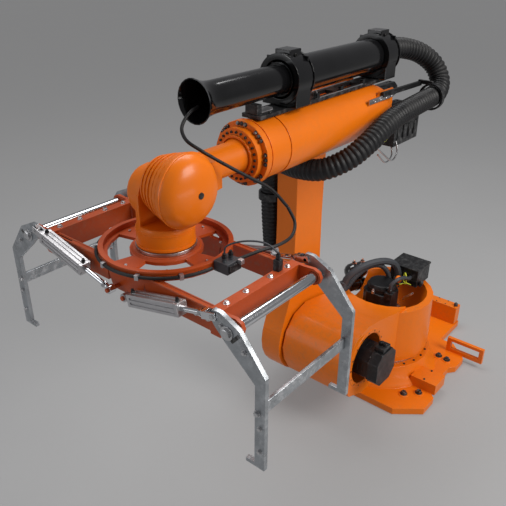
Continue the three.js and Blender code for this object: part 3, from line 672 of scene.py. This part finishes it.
def counterbalance_details():
    way = on_counterbalance(1) - on_counterbalance(0)
    rise = on_counterbalance(0, 1) - on_counterbalance(0)
    collars, copper = Shape(), Shape()
    for along in (46, 210, 380, 534):
        collars.ring(on_counterbalance(along), way, [(0, 38), (0, 44), (22, 44), (22, 38)], 56, 2)
    collars.circle(collars.screw, on_counterbalance(559), way, 31, 8, size=3.5, tall=4)
    for x in (40, 151):
        collars.ring(on_counterbalance(x, 44), rise, [(0, 18), (0, 25), (8, 25), (8, 18)], 32, 1)
        copper.lathe(on_counterbalance(x, 151), rise, [(0, 0), (0, 14), (8, 14), (8, 9), (14, 9)], 6, 0)
        copper.lathe(on_counterbalance(x, 158), rise, [(0, 0), (0, 7), (16, 6), (18, 4), (18, 0)], 20, 1)
        copper.lathe(on_counterbalance(x, 158) + Y * 5, Y, [(0, 0), (0, 5), (12, 5), (12, 0)], 16, 0.6)
    collars.place("counterbalance_collars", "counterbalance", GLOSS)
    copper.place("accumulator_valves", "counterbalance", COPPER)


def link_details():
    bolts, raised = Shape(), Shape()
    bolts.circle(bolts.screw, (HIP_X, LINK_FACE, HIP_Z), -Y, 206, 24, size=8, tall=8)
    bolts.circle(bolts.screw, (HIP_X, LINK_FACE, ELBOW_Z), -Y, 148, 18, size=7, tall=7)
    bolts.circle(bolts.screw, (640, -408, 1255), Z, 58, 6, 30, size=3.2, tall=3)
    bolts.place("link_bolts", "link", DARK)
    for z, r in ((HIP_Z, 178), (ELBOW_Z, 124)):
        cover = [(0, 0), (0, r), (9, r - 6), (9, r - 34), (4, r - 40), (4, 0)]
        raised.lathe((HIP_X, LINK_FACE, z), -Y, cover, 84, 2)
    raised.place("link_hub_covers", "link", ORANGE)


def arm_details():
    bolts = Shape()
    for t in FLANGE_BOLTS:
        bolts.circle(bolts.bolt, (1343.5, 0, ROLL_Z), X, 116, 1, t, size=5.6, tall=6.5)
    for x in (980, 1160):
        for y in SIDES:
            bolts.screw((x + 60, 34 * y, 1862.5), Z, 5.5, 5)
    for x, y in ((1040, 70), (1104, 70), (353, 70), (417, 70)):
        for side in SIDES:
            bolts.bolt((x, side * y, 1890), Z, 5, 6)
    for x in (1058, 372):
        bolts.screw((x + 14, 35, 2055), Y, 6)
        bolts.screw((x + 14, -35, 2055), -Y, 6)
    bolts.bolt((916, 33, 1863), Z, 8, 26)
    bolts.place("arm_bolts", "arm", DARK)
    rings = Shape()
    for x in (1018, 1119, 331, 432):
        rings.ring((x, 0, TUBE_Z), X, [(0, 75), (0, 98), (7, 98), (7, 75)], 84, 1.5)
    for x in (372, 1010):
        rings.ring((x, 0, TUBE_Z), X, [(0, 73), (0, 78), (14, 78), (14, 73)], 84, 2)
    for x, top in ((1072, 2074), (385, 2074)):
        rings.box((x - 44, 40, 2020), (x - 36, 70, 2050), 2)
        rings.box((x + 34, -70, 2020), (x + 42, -40, 2050), 2)
        rings.box((x - 30, -20, top - 30), (x + 24, 20, top), 6)
    for x in (540, 720, 900, 1010):
        rings.box((x, 30, 1862), (x + 22, 44, 1884), 2)
    rings.place("clamp_rings", "arm", GLOSS)
    edge = Shape()
    for side in SIDES:
        edge.box((560, 42 * side - 3, 1858), (900, 42 * side + 3, 1865), 1)
    edge.prism([(0, 0), (116, 0), (116, 26), (96, 44), (20, 44), (0, 26)], (1166, -22, 1864), X, Y, 5, 1)
    edge.prism([(0, 0), (215, 0), (215, 22), (0, 22)], (398, 112, 1788), X, Z, -6, 2)
    for x in (420, 470, 520, 570):
        edge.lathe((x, 112, 1799), Y, [(0, 0), (0, 7), (9, 7), (9, 4), (5, 0)], 18, 0.5)
    edge.place("bright_brackets", "arm", ALLOY)
    dark = Shape()
    dark.box((1262, -30, 1864), (1290, 30, 1902), 3)
    dark.box((352, -92, 1640), (371, 92, 1812), 6)
    for y, z in ((0, 1778), (52, 1694), (-52, 1694)):
        dark.ring((214, y, z), X, [(0, 30), (0, 39), (10, 39), (10, 30)], 8, 1)
        dark.ring((250, y, z), X, [(0, 30), (0, 38), (6, 38), (6, 30)], 8, 1)
        dark.lathe((205, y, z), -X, [(0, 0), (0, 14), (14, 14), (20, 10), (20, 0)], 28, 1)
    for k in range(4):
        dark.box((130 + 56 * k, 122, 1560), (160 + 56 * k, 129, 1630), 2)
    dark.place("arm_rear_fittings", "arm", BRACKET)
    wire = Shape()
    for bends in ([(330, 122, 1560), (360, 150, 1520), (440, 168, 1500), (540, 166, 1560), (600, 150, 1610),
                   (640, 120, 1630)],
                  [(330, 96, 1548), (370, 128, 1500), (450, 140, 1486), (520, 132, 1540)]):
        wire.tube(curve_points(bends, 8)[0], 4, 14)
    wire.place("wire_bracket", "arm", STEEL)
    cable, _ = curve_points([(186, 50, 1700), (160, 92, 1690), (200, 118, 1660), (290, 118, 1640),
                             (392, 96, 1640), (440, 60, 1620)], 6)
    Shape().tube(cable, 5, 14).place("motor_leads", "arm", RUBBER)
    cable, _ = curve_points([(420, 120, 1640), (440, 134, 1610), (470, 130, 1590), (490, 110, 1600)], 5)
    Shape().tube(cable, 3, 12).place("arm_earth_wire", "arm", EARTH)
    plates = Shape()
    plates.prism([(0, 0), (150, 0), (150, 60), (120, 92), (0, 92)], (372, 88, 1732), X, Z, -14, 3)
    plates.ring((1186, 0, ROLL_Z), X, [(0, 118), (0, 123.2), (4, 123.2), (4, 118)], 96, 1.2)
    plates.ring((1300, 0, ROLL_Z), X, [(0, 116), (8, 127), (12, 127), (12, 116)], 96, 1.2)
    plates.place("arm_plates", "arm", ORANGE)


def wrist_details():
    bolts = Shape()
    bolts.circle(bolts.screw, (1373.5, 0, ROLL_Z), X, 90, 24, size=5, tall=6)
    bolts.circle(bolts.screw, (TOOL_X, 133, ROLL_Z), Y, 112, 6, 30, size=3.5, tall=3)
    bolts.lathe((TOOL_X, 177, ROLL_Z), Y, [(0, 0), (0, 12), (5, 11), (5, 7), (3, 0)], 28, 0.8)
    bolts.place("wrist_bolts", "wrist", DARK)
    rings = Shape()
    for y, r in ((-6, 96), (18, 104), (42, 112), (66, 118), (88, 124)):
        rings.ring((TOOL_X, y, ROLL_Z), Y, [(0, r - 12), (2, r), (9, r + 1), (11, r - 12)], 96, 1.2)
    rings.ring((TOOL_X, 110, ROLL_Z), Y, [(0, 118), (0, 129.5), (9, 129.5), (12, 118)], 96, 1.5)
    rings.ring((1376, 0, ROLL_Z), X, [(-4, 70), (8, 70), (8, 78), (-4, 80)], 72, 1)
    rings.place("wrist_ribs", "wrist", ORANGE)
    more = Shape()
    more.circle(more.screw, (TOOL_X, -97.5, 1688), -Y, 66, 12, size=4, tall=4)
    more.place("swivel_bolts", "swivel", DARK)
    lips = Shape()
    lips.ring((TOOL_X, 0, 1512), Z, [(0, 98), (0, 105), (10, 105), (10, 98)], 96, 1.2)
    lips.ring((TOOL_X, 0, 1566), Z, [(0, 99), (0, 104.5), (5, 104.5), (5, 99)], 96, 1)
    lips.lathe((TOOL_X, -96, 1688), -Y, [(0, 0), (0, 54), (5, 50), (5, 0)], 72, 2)
    lips.place("swivel_lips", "swivel", ORANGE)


def gripper_details():
    bolts, welds, clips = Shape(), Shape(), Shape()
    for side in SIDES:
        for x in (-150, -60, 60, 150):
            bolts.bolt((TOOL_X + x, side * 418, 1489.5), Z, 7, 7)
        for end in SIDES:
            bolts.bolt((TOOL_X + end * 201, side * 424, 1466), X * end, 7, 7)
            bolts.bolt((TOOL_X + end * 190, side * 330, 1440), X * end, 6, 6)
            bolts.bolt((TOOL_X + end * 190, side * 380, 1440), X * end, 6, 6)
            x = TOOL_X + end * 182
            welds.prism([(0, 0), (90, 0), (0, 58)], (x - 4, side * 300, 1480), Y * side, -Z, 8, 1)
            welds.tube([(x - 9, side * 392, 1404), (x - 9, side * 397, 1478)], 5, 10)
            welds.tube([(x + 9, side * 392, 1404), (x + 9, side * 397, 1478)], 5, 10)
            welds.tube([(x + 9, side * 120, 1479), (x + 9, side * 392, 1479)], 4, 10)
            welds.tube([(x - 9, side * 120, 1479), (x - 9, side * 392, 1479)], 4, 10)
    welds.ring((TOOL_X, 0, 1490), Z, [(0, 116), (0, 124), (6, 117)], 96, 1)
    welds.ring((TOOL_X, 0, 1504), Z, [(0, 218), (0, 236), (8, 236), (8, 218)], 120, 1.5)
    bolts.circle(bolts.screw, (TOOL_X, 0, 1490), Z, 190, 8, 2, size=5, tall=5)
    bolts.place("gripper_bolts", "gripper", STEEL)
    welds.place("carrier_flanges", "gripper", RED)
    for t in (58, 24, -12, -46, -78, -104):
        a = math.radians(t)
        turn = Matrix.Translation((TOOL_X, 0, 0)) @ Matrix.Rotation(a, 4, "Z")
        clips.box((233, -7, 1484), (251, 7, 1503), 1.5, turn)
    clips.box((1700, 300, 1508), (1716, 318, 1524), 1.5)
    clips.place("cable_clips", "gripper", ALLOY)
    fittings = Shape()
    for x in (1712, 1744):
        fittings.lathe((x, 268, 1529), Z, [(0, 0), (0, 9), (8, 9), (8, 6), (16, 6), (16, 0)], 20, 0.8)
    fittings.box((1700, 296, 1486), (1756, 304, 1512), 1.5)
    fittings.box((1626, 396, 1488), (1650, 420, 1530), 3)
    fittings.lathe((1638, 408, 1529), Z, [(0, 0), (0, 8), (18, 8), (18, 5), (26, 5), (26, 0)], 20, 0.8)
    fittings.place("air_fittings", "gripper", BRACKET)
    line, _ = curve_points([(1744, 268, 1543), (1742, 276, 1572), (1706, 320, 1592), (1660, 376, 1584),
                            (1638, 408, 1552)], 4)
    Shape().tube(line, 3.2, 12).place("air_line", "gripper", PLASTIC)


def leg_details(side, name):
    bolts, slots = Shape(), Shape()
    for end in SIDES:
        face = TOOL_X + end * 236
        way = X * end
        bolts.bolt((face, side * PIVOT_Y, PIVOT_Z), way, 15, 9)
        bolts.bolt((face, side * 444, 1498), way, 8, 8)
        bolts.bolt((face, side * 611, 1233), way, 8, 8)
        bolts.bolt((face, side * 474, 1480), way, 5, 5)
        for y, z in ((560, 1424), (620, 1180), (620, 1090)):
            bolts.bolt((face, side * y, z), way, 6, 6)
        turn = Matrix.Translation((face, side * 527, 1455)) @ Matrix.Rotation(side * 0.85, 4, "X")
        low, high = (-0.5, 0.8) if end > 0 else (-0.8, 0.5)
        slots.box((low, -22, -6), (high, 22, 6), 0.3, turn)
    bolts.place(f"leg_bolts_{name}", f"clamp_{name}", STEEL)
    slots.place(f"leg_slots_{name}", f"clamp_{name}", DARK)


ANCHOR_Y, ANCHOR_Z = 40, 1400
REACH = math.hypot(404, 98)
TILT = math.atan2(98, 404)


def at_actuator(side, end):
    """Where a clamp cylinder stands: its own Y runs from the anchor to the leg's lever."""
    x = TOOL_X + end * 228
    turn = Matrix.Translation((x, ANCHOR_Y, ANCHOR_Z)) @ Matrix.Rotation(TILT, 4, "X")
    if side < 0:
        turn = Matrix.Translation((2 * x, 0, 0)) @ Matrix.Rotation(math.pi, 4, "Z") @ turn
    return turn


def profile_bar(shape, low, high, turn):
    """Extruded cylinder body with two grooves on each face."""
    quarter = [(22, -21), (22, -12), (18, -11), (18, -5), (22, -4), (22, 4), (18, 5), (18, 11), (22, 12),
               (22, 21), (21, 22)]
    outline = []
    for k in range(4):
        c, s = round(math.cos(k * math.pi / 2)), round(math.sin(k * math.pi / 2))
        outline += [(c * a - s * b, s * a + c * b) for a, b in quarter]
    shape.prism(outline, (0, high - 14, 0), X, Z, high - low - 28, 0.6, turn)
    for y in (low, high - 14):
        shape.box((-22, y, -22), (22, y + 14, 22), 2, turn)
        for dx in (-16, 16):
            for dz in (-16, 16):
                head = y if y == low else y + 14
                way = -Y if y == low else Y
                shape.lathe(turn @ Vector((dx, head, dz)), turn.to_3x3() @ way,
                            [(0, 0), (0, 4), (2.5, 4), (2.5, 0)], 12, 0.3)


def actuator(side, end, tag):
    """A clamp cylinder and its piston rod. The right-hand pair has its rods at the anchors."""
    turn = at_actuator(side, end)
    spin = turn.to_3x3()
    body, rod = Shape(), Shape()
    eye = rod if side < 0 else body
    fork = body if side < 0 else rod
    eye.ring(turn @ Vector((-12, 0, 0)), spin @ X, [(0, 8.5), (0, 15), (24, 15), (24, 8.5)], 32, 1)
    for x in (-15, 9):
        fork.box((x, REACH - 34, -13), (x + 6, REACH + 13, 13), 3, turn)
    fork.box((-15, REACH - 46, -13), (15, REACH - 30, 13), 2, turn)
    fork.lathe(turn @ Vector((-15, REACH, 0)), spin @ X, [(0, 0), (0, 7), (30, 7), (30, 0)], 24, 0.6)
    if side > 0:
        body.box((-10, 12, -12), (10, 36, 12), 2, turn)
        profile_bar(body, 32, 276, turn)
        length = REACH - 120
        rod.lathe(turn @ Vector((0, 80, 0)), spin @ Y, [(0, 0), (0, 9), (length, 9), (length, 0)], 32, 1)
        rod.lathe(turn @ Vector((0, REACH - 62, 0)), spin @ Y, [(0, 0), (0, 14), (12, 14), (12, 0)], 6, 0)
    else:
        profile_bar(body, 134, REACH - 44, turn)
        length = REACH - 122
        rod.lathe(turn @ Vector((0, 12, 0)), spin @ Y, [(0, 0), (0, 9), (length, 9), (length, 0)], 32, 1)
        rod.lathe(turn @ Vector((0, 22, 0)), spin @ Y, [(0, 0), (0, 14), (12, 14), (12, 0)], 6, 0)
    near, far = frame["nodes"]["cylinder_" + tag], frame["nodes"]["piston_rod_" + tag]
    body.place(f"cylinder_{tag}_detail", near["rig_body"], ALLOY, (near.name,))
    rod.place(f"piston_rod_{tag}_detail", far["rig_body"], CHROME, (far.name,))
    ports = Shape()
    for y in ((46, 262) if side > 0 else (148, REACH - 58)):
        fitting = [(0, 0), (0, 7), (7, 7), (7, 5), (14, 5), (14, 0)]
        ports.lathe(turn @ Vector((0, y, 21)), spin @ Z, fitting, 18, 0.6)
    ports.place(f"cylinder_{tag}_ports", near["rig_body"], BRACKET)


base_details()
column_details()
counterbalance_details()
link_details()
arm_details()
wrist_details()
gripper_details()
for side, name in ((1, "left"), (-1, "right")):
    leg_details(side, name)
    for end, where in ((1, "front"), (-1, "rear")):
        actuator(side, end, f"{where}_{name}")


# ---------------------------------------------------------------- floor and light

def floor():
    bm = bmesh.new()
    bmesh.ops.create_grid(bm, x_segments=8, y_segments=8, size=60)
    mesh = bpy.data.meshes.new("floor")
    bm.to_mesh(mesh)
    bm.free()
    made = bpy.data.objects.new("floor", mesh)
    made.location.z = CAD_BOX[0].z - 0.0005
    bpy.context.scene.collection.objects.link(made)
    mesh.materials.append(surface("pale_floor", (0.23, 0.23, 0.232), 0.66, tone=0.03, mottle=0.6, grain=30,
                                  bump=0.02, spread=0.05, specular=0.2, glow=0.15))


def area_light(name, at, target, size, power, colour=(1, 1, 1)):
    data = bpy.data.lights.new(name, "AREA")
    data.shape = "RECTANGLE"
    data.size, data.size_y = size
    data.energy = power
    data.color = colour
    made = bpy.data.objects.new(name, data)
    made.location = at
    made.rotation_euler = (Vector(target) - Vector(at)).to_track_quat("-Z", "Y").to_euler()
    bpy.context.scene.collection.objects.link(made)


def lights():
    middle = (CAD_BOX[0] + CAD_BOX[1]) / 2
    flat = Vector((LOOK.x, LOOK.y, 0)).normalized()
    area_light("key", middle + RIGHT * 3.6 - flat * 2.2 + Z * 3.4, middle, (2.6, 2.6), 235, (1, 0.98, 0.95))
    area_light("top", middle + flat * 1.2 - RIGHT * 0.4 + Z * 4.2, middle, (3.6, 1.6), 120)
    area_light("fill", middle - RIGHT * 4.6 - flat * 2.5 + Z * 1.6, middle, (3.0, 3.0), 45, (0.95, 0.97, 1))
    area_light("strip", Vector((0.9, 4.8, 0.7)), Vector((0.9, 0, 1.8)), (3.4, 0.5), 22)
    world = bpy.data.worlds.new("world")
    bpy.context.scene.world = world
    world.use_nodes = True
    world.node_tree.nodes["Background"].inputs["Color"].default_value = (0.60, 0.60, 0.62, 1)
    world.node_tree.nodes["Background"].inputs["Strength"].default_value = 0.36
    bpy.context.scene.view_settings.view_transform = "Standard"


floor()
lights()
